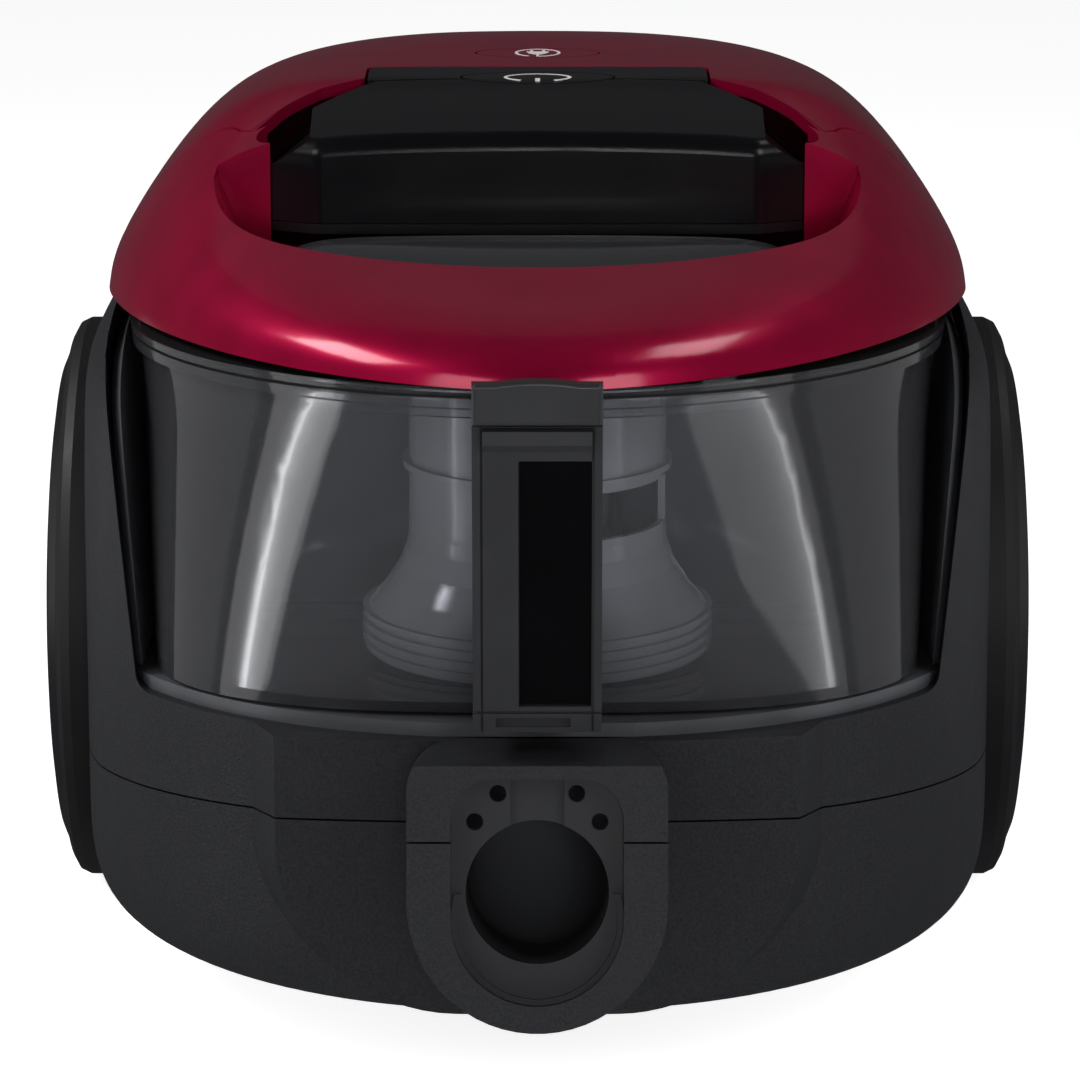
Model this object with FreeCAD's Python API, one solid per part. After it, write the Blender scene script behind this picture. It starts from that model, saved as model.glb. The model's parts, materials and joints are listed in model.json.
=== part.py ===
"""Bagless canister vacuum cleaner, built as an assembly of separate parts.

Row frame: millimetres, +Z up, -Y is the front (hose inlet), +X is the cleaner's left as seen from the front.
The origin is at the middle of the footprint, on the floor.
"""
import FreeCAD, Part
import math
import os

V = FreeCAD.Vector

# ---- driving dimensions -------------------------------------------------------------------------
WALL = 3.0                      # moulded housing wall
SKIN = 2.2                      # clear bin wall
GAP = 0.5                       # open seam between two housings
LOOP_POINTS = 32                # poles in every closed plan outline

BODY_HALF, BODY_FRONT, BODY_REAR, BODY_WIDE_Y = 122.0, -158.0, 199.0, -10.0
BODY_BOTTOM, BODY_TOP = 20.0, 182.0
BODY_FULLNESS_FRONT, BODY_FULLNESS_REAR = 2.2, 2.9

WHEEL_R, WHEEL_Y, WHEEL_OUT, WHEEL_IN = 79.0, 45.0, 136.0, 112.0
WELL_R, WELL_X = 82.0, 107.0
AXLE_R = 6.0

CASTER_Y, CASTER_TRAIL, CASTER_R, CASTER_HALF = -105.0, 9.0, 9.5, 7.0
CASTER_WELL_R, CASTER_WELL_TOP = 23.0, 25.0

SLIDE_SLOPE = 0.048             # the bin slides forward and up along this slope
SHELF_Y, SHELF_Z = -157.0, 93.0  # the shelf under the bin passes through this line

INLET_TILT = 13.0               # degrees that the hose inlet looks up
INLET_Y, INLET_Z = -192.0, 62.3  # centre of the collar's round lower end, on its face
COLLAR_HALF, COLLAR_TOP = 31.4, 38.0
BORE_R, BORE_UP = 17.3, 2.2
RECESS_R, RECESS_DOWN, RECESS_TOP, RECESS_DEPTH = 20.8, 4.1, 29.7, 9.0
SOCKET_LENGTH = 62.0

# bin plans: half width, front, rear, y of the widest place, front and rear fullness
BIN_PLAN = (105.0, -160.0, -6.0, -25.0, 2.0, 3.2)
BIN_LOW_PLAN = (100.0, -146.0, -15.0, -58.0, 2.8, 3.2)
BIN_RIM_Z, BIN_FLOOR_Z, BIN_FLARE = 171.5, 95.0, 11.0
BIN_REAR = -6.0
BIN_LIFT, RIM_LIFT = 4.5, 84.5  # floor and rim above the shelf plane
WINDOW_LIFT = 91.5              # underside of the clear window above the shelf plane
CYCLONE_Y, CYCLONE_R, CYCLONE_SKIRT = -85.0, 33.0, 45.0
RISER_R = 17.0

SLOT_FRONT_Z = 198.0            # bottom edge of the wall round the hand opening
GRIP_Z = 200.0                  # bottom of the grip's hollow upper half

BUSH_X, BUSH_Z = 46.0, 65.0

MOTOR_X, MOTOR_Z, MOTOR_R, MOTOR_Y0, MOTOR_Y1 = -46.0, 90.0, 48.0, 40.0, 132.0
REEL_Y, REEL_Z, REEL_R, REEL_X0, REEL_X1 = 88.0, 92.0, 58.0, 26.0, 82.0


# ---- small helpers ------------------------------------------------------------------------------
def box(x0, x1, y0, y1, z0, z1):
    return Part.makeBox(x1 - x0, y1 - y0, z1 - z0, V(x0, y0, z0))


def rod(start, direction, radius, length):
    return Part.makeCylinder(radius, length, V(*start), V(*direction))


def tube(start, direction, outer, inner, length):
    return rod(start, direction, outer, length).cut(rod(start, direction, inner, length))


def prism(points, direction):
    """Extrudes a closed polygon of 3-D points."""
    wire = Part.makePolygon([V(*p) for p in points] + [V(*points[0])])
    return Part.Face(wire).extrude(V(*direction))


def turned(profile, origin, axis, across):
    """Revolves (distance along axis, radius) points about an axis through origin."""
    o, a, r = V(*origin), V(*axis), V(*across)
    points = [o + a * d + r * q for d, q in profile]
    return Part.Face(Part.makePolygon(points + [points[0]])).revolve(o, a, 360)


def mirrored(shape):
    return shape.mirror(V(0, 0, 0), V(1, 0, 0))


def outline(half, front, rear, wide_y, full_front, full_rear):
    """Points of a closed plan outline: two half superellipses that meet at wide_y."""
    points = []
    for i in range(LOOP_POINTS):
        t = 2 * math.pi * i / LOOP_POINTS
        c, s = math.cos(t), math.sin(t)
        full = full_front if c > 0 else full_rear
        reach = wide_y - front if c > 0 else rear - wide_y
        x = math.copysign(abs(s) ** (2 / full), s) * half
        y = wide_y - math.copysign(abs(c) ** (2 / full), c) * reach
        points.append((x, y))
    return points


def fitted(row):
    """Poles whose closed cubic curve passes by the given points."""
    count = len(row)
    return [row[i] * (4 / 3) - (row[i - 1] + row[(i + 1) % count]) * (1 / 6) for i in range(count)]


def surface(rows):
    """Cubic surface through closed rows of points, open from the first row to the last."""
    grid = [list(column) for column in zip(*[fitted(r) for r in rows])]
    around, across = len(grid), len(rows)
    knots_around = [float(i) for i in range(around + 1)]
    knots = [float(i) for i in range(across - 2)]
    mults = [4] + [1] * (across - 4) + [4]
    s = Part.BSplineSurface()
    s.buildFromPolesMultsKnots(grid, [1] * (around + 1), mults, knots_around, knots, True, False, 3, 3)
    return s.toShape()


def positive(solid):
    if solid.Volume < 0:
        solid.reverse()
    return solid


def cup_solid(rows):
    """Solid between the first and last row, which are flat and get plane caps."""
    side = surface(rows)
    ends = sorted((e for e in side.Edges if e.Closed or e.isClosed()), key=lambda e: e.BoundBox.ZMin)
    caps = [Part.Face(Part.Wire([e])) for e in (ends[0], ends[-1])]
    shell = Part.makeShell([side] + caps)
    shell.sewShape()
    return positive(Part.Solid(shell))


def level_rows(rows, plan, shift=0.0):
    """Rows (z, inset) of one plan outline; shift moves every row further in."""
    half, front, rear, wide_y, full_front, full_rear = plan
    made = []
    for z, inset in rows:
        d = inset + shift
        points = outline(half - d, front + d, rear - d, wide_y, full_front, full_rear)
        made.append([V(x, y, z) for x, y in points])
    return made


# ---- planes that several parts share ------------------------------------------------------------
def shelf_z(y):
    return SHELF_Z - SLIDE_SLOPE * (y - SHELF_Y)


def above_shelf(lift, top=400.0):
    """Everything above the shelf plane raised by lift."""
    y0, y1 = -260.0, 260.0
    side = [(-200, y0, shelf_z(y0) + lift), (-200, y1, shelf_z(y1) + lift), (-200, y1, top), (-200, y0, top)]
    return prism(side, (400, 0, 0))


SEAM = [(-260.0, 85.7), (-65.0, 60.3), (-10.0, 55.0), (260.0, 52.0)]
PARTING = [(-260.0, 189.0), (12.0, 176.0), (70.0, 172.0), (260.0, 140.0)]


def above_line(line, lift, top=400.0):
    points = [(-200, y, z + lift) for y, z in line]
    return prism(points + [(-200, line[-1][0], top), (-200, line[0][0], top)], (400, 0, 0))


# ---- housings -----------------------------------------------------------------------------------
BODY_PLAN = (BODY_HALF, BODY_FRONT, BODY_REAR, BODY_WIDE_Y, BODY_FULLNESS_FRONT, BODY_FULLNESS_REAR)
BODY_ROWS = [(BODY_BOTTOM, 34), (BODY_BOTTOM, 20), (BODY_BOTTOM, 9), (22.5, 3), (31, 0), (50, 0), (85, 0),
             (120, 0), (145, 0.5), (160, 1), (170, 4), (176, 9), (BODY_TOP, 15)]
BODY_CORE_ROWS = [(BODY_BOTTOM + WALL, 34), (BODY_BOTTOM + WALL, 20), (BODY_BOTTOM + WALL, 9), (25, 3),
                  (32, 0),
                  (50, 0), (85, 0), (120, 0), (145, 0.5), (158, 1), (166, 4), (172, 9), (BODY_TOP, 19)]


def inlet_frame(shape):
    """Moves a shape drawn with the inlet face at y = 0 and its round centre at the origin into place."""
    shape = shape.copy()
    shape.rotate(V(0, 0, 0), V(1, 0, 0), INLET_TILT * -1)
    shape.translate(V(0, INLET_Y, INLET_Z))
    return shape


def collar_profile(half, top, corner, centre_z=0.0, y=0.0):
    """Face shaped like a U with a round lower end and two round upper corners."""
    k = math.sqrt(0.5)
    points = [V(-half, y, centre_z), V(-half * k, y, centre_z - half * k), V(0, y, centre_z - half)]
    lower = [Part.Arc(points[0], V(0, y, centre_z - half), V(half, y, centre_z)).toShape()]
    a, b = V(half, y, centre_z), V(half, y, top - corner)
    c, d = V(half - corner, y, top), V(corner - half, y, top)
    e = V(-half, y, top - corner)
    mid = corner * (1 - k)
    edges = lower + [
        Part.makeLine(a, b),
        Part.Arc(b, V(half - mid, y, top - mid), c).toShape(),
        Part.makeLine(c, d),
        Part.Arc(d, V(mid - half, y, top - mid), e).toShape(),
        Part.makeLine(e, V(-half, y, centre_z)),
    ]
    return Part.Face(Part.Wire(edges))


def collar_block(half, top, corner, centre_z, y0, y1):
    return collar_profile(half, top, corner, centre_z, y0).extrude(V(0, y1 - y0, 0))


def bumper_block():
    """Flatter centre of the chin, with slanted edges that turn in at the bottom."""
    def wire(half, y, low, top):
        r = 42.0
        k = r * (1 - math.sqrt(0.5))
        return Part.Wire([
            Part.makeLine(V(-half, y, top), V(-half, y, low + r)),
            Part.Arc(V(-half, y, low + r), V(-half + k, y, low + k), V(-half + r, y, low)).toShape(),
            Part.makeLine(V(-half + r, y, low), V(half - r, y, low)),
            Part.Arc(V(half - r, y, low), V(half - k, y, low + k), V(half, y, low + r)).toShape(),
            Part.makeLine(V(half, y, low + r), V(half, y, top)),
            Part.makeLine(V(half, y, top), V(-half, y, top)),
        ])
    block = Part.makeLoft([wire(62.0, -159.5, 23.0, 120.0), wire(74.0, -128.0, 21.0, 120.0)], True, True)
    crown = rod((0, 142.0, 0), (0, 0, 1), 301.0, 200.0)
    return block.common(crown)


def body_outer():
    return cup_solid(level_rows(BODY_ROWS, BODY_PLAN))


def body_core():
    return cup_solid(level_rows(BODY_CORE_ROWS, BODY_PLAN, WALL))


def window_cut():
    """Opening in the front of the housing through which the bin shows and leaves."""
    corner = 4.0
    low, high = 60.0, 200.0
    top_half, bottom_half = 116.0, 99.0
    points = [
        (-top_half, -260, high), (-bottom_half, -260, low), (bottom_half, -260, low),
        (top_half, -260, high)
    ]
    cut = prism(points, (0, 215, 0)).common(above_shelf(0.0))
    edges = [e for e in cut.Edges if e.BoundBox.YLength > 150 and e.BoundBox.ZMax < 150]
    return cut.makeFillet(corner, edges).fuse(box(-112.5, 112.5, -60, -0.5, 159, 200))


def wheel_well(side_cut):
    """Cup that lines one wheel arch; with side_cut it is the space that the wheel turns in."""
    if side_cut:
        return rod((WELL_X, WHEEL_Y, WHEEL_R), (1, 0, 0), WELL_R, 60)
    return rod((WELL_X - WALL, WHEEL_Y, WHEEL_R), (1, 0, 0), WELL_R + WALL, 60)


def housing_shell():
    outer = body_outer()
    shell = outer.cut(body_core())
    core = body_core()
    shell = shell.fuse(bumper_block().cut(core))
    collar = inlet_frame(collar_block(COLLAR_HALF, COLLAR_TOP, 11.0, 0.0, 0.0, 52.0))
    shell = shell.fuse(collar.cut(core))
    wells = wheel_well(False).common(outer)
    shell = shell.fuse(wells).fuse(mirrored(wells))
    cut = wheel_well(True)
    shell = shell.cut(cut).cut(mirrored(cut))
    recess = inlet_frame(collar_block(RECESS_R, RECESS_TOP, 10.0, -RECESS_DOWN, -1.0, RECESS_DEPTH))
    passage = inlet_frame(rod((0, 0, BORE_UP), (0, 1, 0), BORE_R + 2.5, 80))
    shell = shell.cut(recess).cut(passage)
    pocket = inlet_frame(collar_block(RECESS_R + 2.0, RECESS_TOP + 1.5, 11.0, -RECESS_DOWN,
                                      RECESS_DEPTH - 0.01, 30.0))
    return shell.cut(pocket)


def lower_housing(shell):
    low = shell.cut(above_line(SEAM, -GAP / 2))
    well = rod((0, CASTER_Y, 0), (0, 0, 1), CASTER_WELL_R, CASTER_WELL_TOP)
    cover = rod((0, CASTER_Y, BODY_BOTTOM), (0, 0, 1), CASTER_WELL_R + WALL,
                CASTER_WELL_TOP + 2.5 - BODY_BOTTOM)
    boss = rod((0, CASTER_Y, CASTER_WELL_TOP), (0, 0, 1), 4.5, 3.0)
    low = low.fuse([cover, boss]).cut(well)
    low = low.cut(rod((0, CASTER_Y, 10), (0, 0, 1), 2.05, 30))
    for sign in (-1, 1):
        low = low.cut(rod((sign * 90, WHEEL_Y, WHEEL_R), (sign, 0, 0), AXLE_R, 40))
    vents = [box(-60 + 12 * i, -54 + 12 * i, 100, 150, 10, 30) for i in range(11)]
    return low.cut(vents)


def upper_housing(shell):
    high = shell.common(above_line(SEAM, GAP / 2)).cut(above_line(PARTING, -0.4))
    for sign in (-1, 1):
        high = high.cut(rod((sign * 90, WHEEL_Y, WHEEL_R), (sign, 0, 0), AXLE_R, 40))
    high = high.cut(window_cut())
    return high.cut(exhaust_opening())


def exhaust_opening():
    """Rounded slot shape through the back of the upper housing."""
    block = box(-62, 62, 150, 215, 78, 136)
    edges = [e for e in block.Edges if e.BoundBox.YLength > 50]
    return block.makeFillet(14.0, edges)


# ---- top covers ---------------------------------------------------------------------------------
# one row of the cover's skin: half width, front, rear, then height at the side, front and rear
COVER_ROWS = [
    (60.0, -100, 120, 100, 100, 100),
    (100.0, -160, 180, 100, 100, 100),
    (117.0, -180, 197, 112, 112, 112),
    (117.2, -180.5, 198.5, 140, 150, 135),
    (117.2, -180.5, 198.5, 162, 172, 155),
    (117.0, -180.5, 198, 176, 184, 170),
    (115.5, -178.5, 197, 184, 189.5, 182),
    (112.0, -173, 194, 191, 193.5, 191),
    (107.0, -162, 189, 199, 197.3, 200),
    (101.0, -146, 181, 207.5, 200.2, 209),
    (94.0, -124, 168, 216, 203, 217),
    (84.0, -92, 150, 225, 209, 224),
    (71.0, -54, 130, 230, 218, 228.5),
    (56.0, -22, 110, 231.7, 227, 231),
    (42.0, 2, 92, 232, 232, 232),
    (28.0, 8, 80, 232, 232, 232),
]
COVER_FRONT_FULLNESS, COVER_REAR_FULLNESS, COVER_WIDE_Y = 1.78, 2.6, 15.0
# hand opening: plan at its upper edge and at its lower edge
OPENING_TOP = (85.0, -121.5, 20.0, -42.0, 2.1, 2.4)
OPENING_LOW = (75.5, -118.0, 20.0, -42.0, 2.1, 2.4)
OPENING_TOP_Z, OPENING_LOW_Z = 212.0, 189.0
GRIP_PLAN = [
    (-58, -35.5), (-74.5, -27.5), (-73.5, -21), (-45, 12.5), (45, 12.5), (73.5, -21), (74.5, -27.5),
    (58, -35.5)
]
CRESCENT = [(-75, -19.5), (-67, -6.5), (-58, 3.5), (-48.5, 10.2), (-51.5, 4.2), (-62, -9.0), (-70, -17.5)]
COVER_SPLIT = [(-79, -15), (-86, -6), (-95, -1), (-105, 12), (-110.5, 34), (-112.5, 70), (-110, 130),
               (-100, 215)]
HOOD_FRONT = [
    (-79, -15), (-76, -18.5), (-67, -6.5), (-58, 3.5), (-47, 11), (47, 11), (58, 3.5), (67, -6.5),
    (76, -18.5), (79, -15)
]


def cover_solid(shift):
    """The cover's outer form, or its hollow when shift is the wall thickness."""
    rows = []
    for k, (half, front, rear, z_side, z_front, z_rear) in enumerate(COVER_ROWS):
        row = []
        inset = shift if k < 12 else shift * 0.4
        drop = 0.0 if k < 3 else shift * min(1.0, (k - 3) / 7)
        plan = outline(half - inset, front + inset, rear - inset, COVER_WIDE_Y,
                       COVER_FRONT_FULLNESS, COVER_REAR_FULLNESS)
        for i, (x, y) in enumerate(plan):
            c = math.cos(2 * math.pi * i / LOOP_POINTS)
            end = z_front if c > 0 else z_rear
            row.append(V(x, y, z_side + (end - z_side) * abs(c) ** 1.6 - drop))
        rows.append(row)
    return cup_solid(rows)


def plan_prism(plan, z0, z1, grow=0.0):
    half, front, rear, wide_y, full_front, full_rear = plan
    points = outline(half + grow, front - grow, rear + grow, wide_y, full_front, full_rear)
    curve = Part.BSplineCurve()
    curve.interpolate(Points=[V(x, y, z0) for x, y in points], PeriodicFlag=True)
    return Part.Face(Part.Wire([curve.toShape()])).extrude(V(0, 0, z1 - z0))


def split_prism(grow):
    """Everything behind the line where the rear hood meets the front ring."""
    left = [(x - grow, y - grow) for x, y in COVER_SPLIT]
    right = [(-x, y) for x, y in left]
    curve = Part.BSplineCurve()
    curve.interpolate([V(x, y, 90) for x, y in left])
    other = Part.BSplineCurve()
    other.interpolate([V(x, y, 90) for x, y in right])
    corners = [(left[0][0], left[0][1] + grow)] + HOOD_FRONT[1:-1] + [(right[0][0], right[0][1] + grow)]
    front = [Part.makeLine(V(x0, y0 - grow, 90), V(x1, y1 - grow, 90))
             for (x0, y0), (x1, y1) in zip(corners, corners[1:])]
    back = Part.makeLine(V(*left[-1], 90), V(*right[-1], 90))
    edges = Part.sortEdges([curve.toShape(), other.toShape(), back] + front)[0]
    return Part.Face(Part.Wire(edges)).extrude(V(0, 0, 200))


def opening_wire(plan, z, grow):
    half, front, rear, wide_y, full_front, full_rear = plan
    points = outline(half + grow, front - grow, rear + grow, wide_y, full_front, full_rear)
    curve = Part.BSplineCurve()
    curve.interpolate(Points=[V(x, y, z) for x, y in points], PeriodicFlag=True)
    return Part.Wire([curve.toShape()])


def opening_funnel(grow):
    """The hand opening narrows downwards."""
    top, low = OPENING_TOP_Z, OPENING_LOW_Z
    slope = Part.makeLoft([opening_wire(OPENING_LOW, low, grow), opening_wire(OPENING_TOP, top, grow)],
                          True, True)
    above = plan_prism(OPENING_TOP, top, 260.0, grow)
    below = plan_prism(OPENING_LOW, 90.0, low, grow)
    return slope.fuse([above, below]).common(box(-120, 120, -150, -30 + grow, 90, 260))


def polygon_prism(plan, grow, z0, z1, corner=0.0):
    wire = Part.makePolygon([V(x, y, z0) for x, y in plan] + [V(*plan[0], z0)])
    if grow:
        wire = wire.makeOffset2D(grow, 2)
    block = Part.Face(wire).extrude(V(0, 0, z1 - z0))
    if corner:
        block = block.makeFillet(corner, [e for e in block.Edges if e.BoundBox.ZLength > 1])
    return block


def grip_form(grow, z0, z1):
    return polygon_prism(GRIP_PLAN, grow, z0, z1, GRIP_CORNER_R + grow)


def top_cover(outer):
    """Skin with a downturned wall round the hand opening and the grip."""
    skin = outer.cut(cover_solid(WALL))
    wall = opening_funnel(2.4).common(box(-120, 120, -150, -28, OPENING_LOW_Z, 260))
    sleeve = grip_form(3.0, SLOT_FRONT_Z, 260.0)
    cover = skin.fuse([wall.common(outer), sleeve.common(outer)])
    cover = cover.cut(opening_funnel(0.0)).cut(grip_form(0.5, 150.0, 260.0))
    return cover.common(above_line(PARTING, 0.0))


def top_cover_front(cover):
    ring = cover.cut(split_prism(GAP))
    for plan in (CRESCENT, [(-x, y) for x, y in CRESCENT]):
        ring = ring.cut(polygon_prism(plan, 0.0, 150.0, 260.0))
    ring = ring.cut(control_form(0.5, -20.0, 260.0))
    return max(ring.Solids, key=lambda piece: piece.Volume)


def top_cover_rear(cover):
    hood = cover.common(split_prism(0.0))
    notch = control_form(0.8, -20.0, 260.0)
    return hood.cut(rewind_button_form(0.6)).cut(notch)


def rewind_button_form(grow):
    return plan_prism((17.0, 49.0, 67.0, 58.0, 2.0, 2.0), 190.0, 260.0, grow)


HANDLE_FRONT_Y = -35.5
GRIP_CREST_R, GRIP_CORNER_R = 5.0, 6.0
STRIP_Y0, STRIP_Y1, STRIP_X = 9.0, 30.0, 46.0
POWER_Y = 11.5


def handle_grip(outer):
    """Hollow grip bridge that the hand closes round from the front."""
    top = outer.common(grip_form(0.0, GRIP_Z, 260.0))
    crest = []
    for edge in top.Edges:
        ends = [edge.valueAt(edge.FirstParameter), edge.valueAt(edge.LastParameter)]
        middle = edge.valueAt((edge.FirstParameter + edge.LastParameter) / 2)
        if middle.z > 205 and middle.y < -26 and abs(ends[0].z - ends[1].z) < 6:
            crest.append(edge)
    top = top.makeFillet(GRIP_CREST_R, crest)
    corner = [(60.0, -60, 221.6), (82.0, -60, 206.5), (82.0, -60, 250), (60.0, -60, 250)]
    wedge = prism(corner, (0, 90, 0))
    top = top.cut(wedge).cut(mirrored(wedge))
    core = cover_solid(WALL + 1.5).common(grip_form(-3.5, 90.0, 260.0))
    core = core.common(box(-90, 90, HANDLE_FRONT_Y + 8.0, 40.0, 90.0, 260.0))
    return top.cut(core).cut(control_form(0.3, 2.0, 260.0)).cut(power_button_form(0.6))


def control_form(grow, z0, z1):
    """Plan of the strip behind the grip that carries the power button."""
    block = box(-STRIP_X - grow, STRIP_X + grow, STRIP_Y0 - grow, STRIP_Y1 + grow, z0, z1)
    edges = [e for e in block.Edges if e.BoundBox.ZLength > 1 and e.BoundBox.YMin > STRIP_Y1 - 1]
    return block.makeFillet(3.0, edges)


def control_strip(outer):
    strip = outer.common(control_form(0.0, 222.0, 260.0))
    return strip.cut(power_button_form(0.6))


def power_button_form(grow):
    return plan_prism((20.5, POWER_Y - 9.0, POWER_Y + 9.0, POWER_Y, 2.0, 2.0), 190.0, 260.0, grow)


def power_button(outer):
    cap = power_button_form(0.0).common(outer)
    cap = cap.cut(box(-60, 60, -60, 80, 0, 224.0))
    stem = rod((0, POWER_Y, 192), (0, 0, 1), 4.0, 33.0)
    return cap.fuse(stem)


def rewind_button(outer):
    cap = rewind_button_form(0.0).common(outer)
    cap = cap.cut(box(-60, 60, 0, 120, 0, 226.0))
    stem = rod((0, 58, 190), (0, 0, 1), 4.0, 37.0)
    return cap.fuse(stem)


def handle_underside():
    """Smooth lower half of the grip, with the wall that closes the hand space behind."""
    plate = grip_form(0.0, GRIP_Z - 2.8, GRIP_Z - 0.2)
    back = box(-56.0, 56.0, -1.5, 1.0, 172.8, GRIP_Z - 1.0)
    guide = rod((0, POWER_Y, GRIP_Z - 2.0), (0, 0, 1), 6.0, SPRING_SEAT_Z - GRIP_Z + 2.0)
    foot = box(-8, 8, 3, POWER_Y + 8, GRIP_Z - 2.8, GRIP_Z - 0.2)
    return plate.fuse([back, foot, guide]).cut(rod((0, POWER_Y, 185), (0, 0, 1), 4.05, 40))


def window_dome(shift):
    """Dome of the clear window, in front of the grip."""
    levels = [
        (176.0, 31.0, -93.0, -69.0, -72.0),
        (176.0, 51.0, -104.0, -59.0, -65.0),
        (176.0, 71.0, -114.5, -49.0, -58.0),
        (178.0, 71.0, -114.5, -49.0, -58.0),
        (183.0, 71.0, -114.0, -49.3, -58.0),
        (187.5, 70.4, -111.0, -50.0, -58.0),
        (192.0, 69.0, -105.0, -51.3, -58.0),
        (196.5, 65.5, -97.0, -53.5, -60.0),
        (199.8, 60.0, -88.0, -56.5, -63.0),
        (201.4, 52.0, -80.0, -60.0, -66.0),
        (201.8, 42.0, -76.0, -63.0, -68.0),
        (201.8, 32.0, -73.0, -65.5, -69.0),
    ]
    rows = []
    for z, half, front, rear, wide_y in levels:
        lift = -shift if z > 177 else 0.0
        points = outline(half - shift, front + shift, rear - shift, wide_y, 2.1, 2.4)
        rows.append([V(x, y, z + lift) for x, y in points])
    return cup_solid(rows)


def lid_window():
    """Clear dished window under the hand opening, over the lid of the bin."""
    block = plan_prism(OPENING_LOW, 150.0, OPENING_LOW_Z - 0.2, 2.4).common(above_shelf(WINDOW_LIFT))
    block = block.common(box(-90, 90, -130, -2.0, 150, 200))
    tray = block.cut(plan_prism(OPENING_LOW, 150.0, 200.0).common(above_shelf(WINDOW_LIFT + 1.8)))
    inner = window_dome(1.8)
    dome = window_dome(0.0).common(above_shelf(WINDOW_LIFT + 0.9)).cut(inner)
    return tray.cut(inner).fuse(dome)


SPRING_SEAT_Z = 214.0


def coil(x, y, z0, z1):
    """Compression spring drawn as a helix with flat ends."""
    turns, radius, wire = 4.0, 5.2, 0.4
    helix = Part.makeHelix((z1 - z0 - 2 * wire) / turns, z1 - z0 - 2 * wire, radius)
    section = Part.Wire(Part.makeCircle(wire, V(radius, 0, 0), V(0, 1, 0)))
    spring = Part.Wire(helix.Edges).makePipeShell([section], True, True)
    spring.translate(V(x, y, z0 + wire))
    return spring


def power_spring():
    return coil(0, POWER_Y, SPRING_SEAT_Z, 224.0)


def rewind_spring():
    return coil(0, 58, SPRING_SEAT_Z, 226.0)


def rewind_guide():
    """Sleeve on an arm that guides the rewind button's stem."""
    sleeve = rod((0, 58, 200), (0, 0, 1), 6.0, SPRING_SEAT_Z - 200)
    arm = box(3, REEL_X0 - 3, 54, 62, 200, 203)
    leg = box(REEL_X0 - 6, REEL_X0 - 3, 54, 62, 186, 203)
    return sleeve.fuse([arm, leg]).cut(rod((0, 58, 190), (0, 0, 1), 4.05, 40))


# ---- hose inlet ---------------------------------------------------------------------------------
SCREW_SPOTS = [(-9.5, 26.0), (9.5, 26.0), (-15.1, 19.2), (15.1, 19.2)]


def inlet_faceplate():
    plate = collar_block(RECESS_R, RECESS_TOP, 10.0, -RECESS_DOWN, RECESS_DEPTH - 3.0, RECESS_DEPTH)
    plate = plate.cut(rod((0, 0, BORE_UP), (0, 1, 0), BORE_R, 20))
    notch = box(-6.5, 6.5, RECESS_DEPTH - 3.0, RECESS_DEPTH - 1.2, 17.0, RECESS_TOP + 1)
    plate = plate.cut(notch)
    lip = tube((0, RECESS_DEPTH - 5.0, -RECESS_DOWN), (0, 1, 0), RECESS_R, RECESS_R - 1.4, 2.0)
    lip = lip.common(box(-30, 30, 0, 10, -40, -RECESS_DOWN + 6.0))
    plate = plate.fuse(lip)
    for x, z in SCREW_SPOTS:
        plate = plate.cut(rod((x, 0, z), (0, 1, 0), 2.1, RECESS_DEPTH - 1.5))
    return inlet_frame(plate)


def faceplate_screws():
    screws = []
    for x, z in SCREW_SPOTS:
        head = rod((x, RECESS_DEPTH - 2.4, z), (0, 1, 0), 1.9, 0.9)
        slot_a = box(x - 1.2, x + 1.2, 0, RECESS_DEPTH - 2.0, z - 0.3, z + 0.3)
        slot_b = box(x - 0.3, x + 0.3, 0, RECESS_DEPTH - 2.0, z - 1.2, z + 1.2)
        screws.append(inlet_frame(head.cut(slot_a).cut(slot_b)))
    return Part.makeCompound(screws)


def inlet_tube():
    body = tube((0, RECESS_DEPTH, BORE_UP), (0, 1, 0), BORE_R + 2.5, BORE_R, SOCKET_LENGTH - RECESS_DEPTH)
    flange = tube((0, RECESS_DEPTH, BORE_UP), (0, 1, 0), BORE_R + 3.5, BORE_R, 2.0)
    flange = flange.common(collar_block(RECESS_R + 1.5, RECESS_TOP, 10.0, -RECESS_DOWN, 0, 60))
    return inlet_frame(body.fuse(flange))


def duct_points():
    tilt = math.radians(INLET_TILT)
    y = INLET_Y + SOCKET_LENGTH * math.cos(tilt) + BORE_UP * math.sin(tilt)
    z = INLET_Z - SOCKET_LENGTH * math.sin(tilt) + BORE_UP * math.cos(tilt)
    bend = (CYCLONE_Y - y) / (1 + math.sin(tilt))
    return y, z, bend, z + bend * math.cos(tilt)


def inlet_duct():
    """Elbow that turns the air up into the floor of the bin."""
    y, z, bend, end_z = duct_points()
    centre = V(0, CYCLONE_Y - bend, end_z)
    tilt = math.radians(INLET_TILT)
    direction = V(0, math.cos(tilt), -math.sin(tilt))
    outer = Part.Face(Part.Wire(Part.makeCircle(BORE_R + 2.2, V(0, y, z), direction)))
    inner = Part.Face(Part.Wire(Part.makeCircle(BORE_R, V(0, y, z), direction)))
    return outer.cut(inner).revolve(centre, V(1, 0, 0), 90 + INLET_TILT)


def port_seal():
    low = duct_points()[3]
    return tube((0, CYCLONE_Y, low), (0, 0, 1), RISER_R + 3.6, RISER_R + 1.2,
                14.0).cut(above_shelf(BIN_LIFT - 0.6))


# ---- inside the body ----------------------------------------------------------------------------
FILTER_X, FILTER_Z0, FILTER_Z1, FILTER_Y0, FILTER_Y1 = 56.0, 96.0, 162.0, 1.0, 24.0
PORT_HALF, PORT_LIFT0, PORT_LIFT1 = 18.0, 66.0, 80.0


def slab(low, high):
    return above_shelf(low).cut(above_shelf(high))


def port_form(grow, y0, y1):
    return box(
        -PORT_HALF - grow, PORT_HALF + grow, y0, y1, 0, 300
    ).common(slab(PORT_LIFT0 - grow, PORT_LIFT1 + grow))


LINING_LOW, LINING_HIGH = 101.6, 109.0     # inner face of the side linings, at the floor and at the rim


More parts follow.
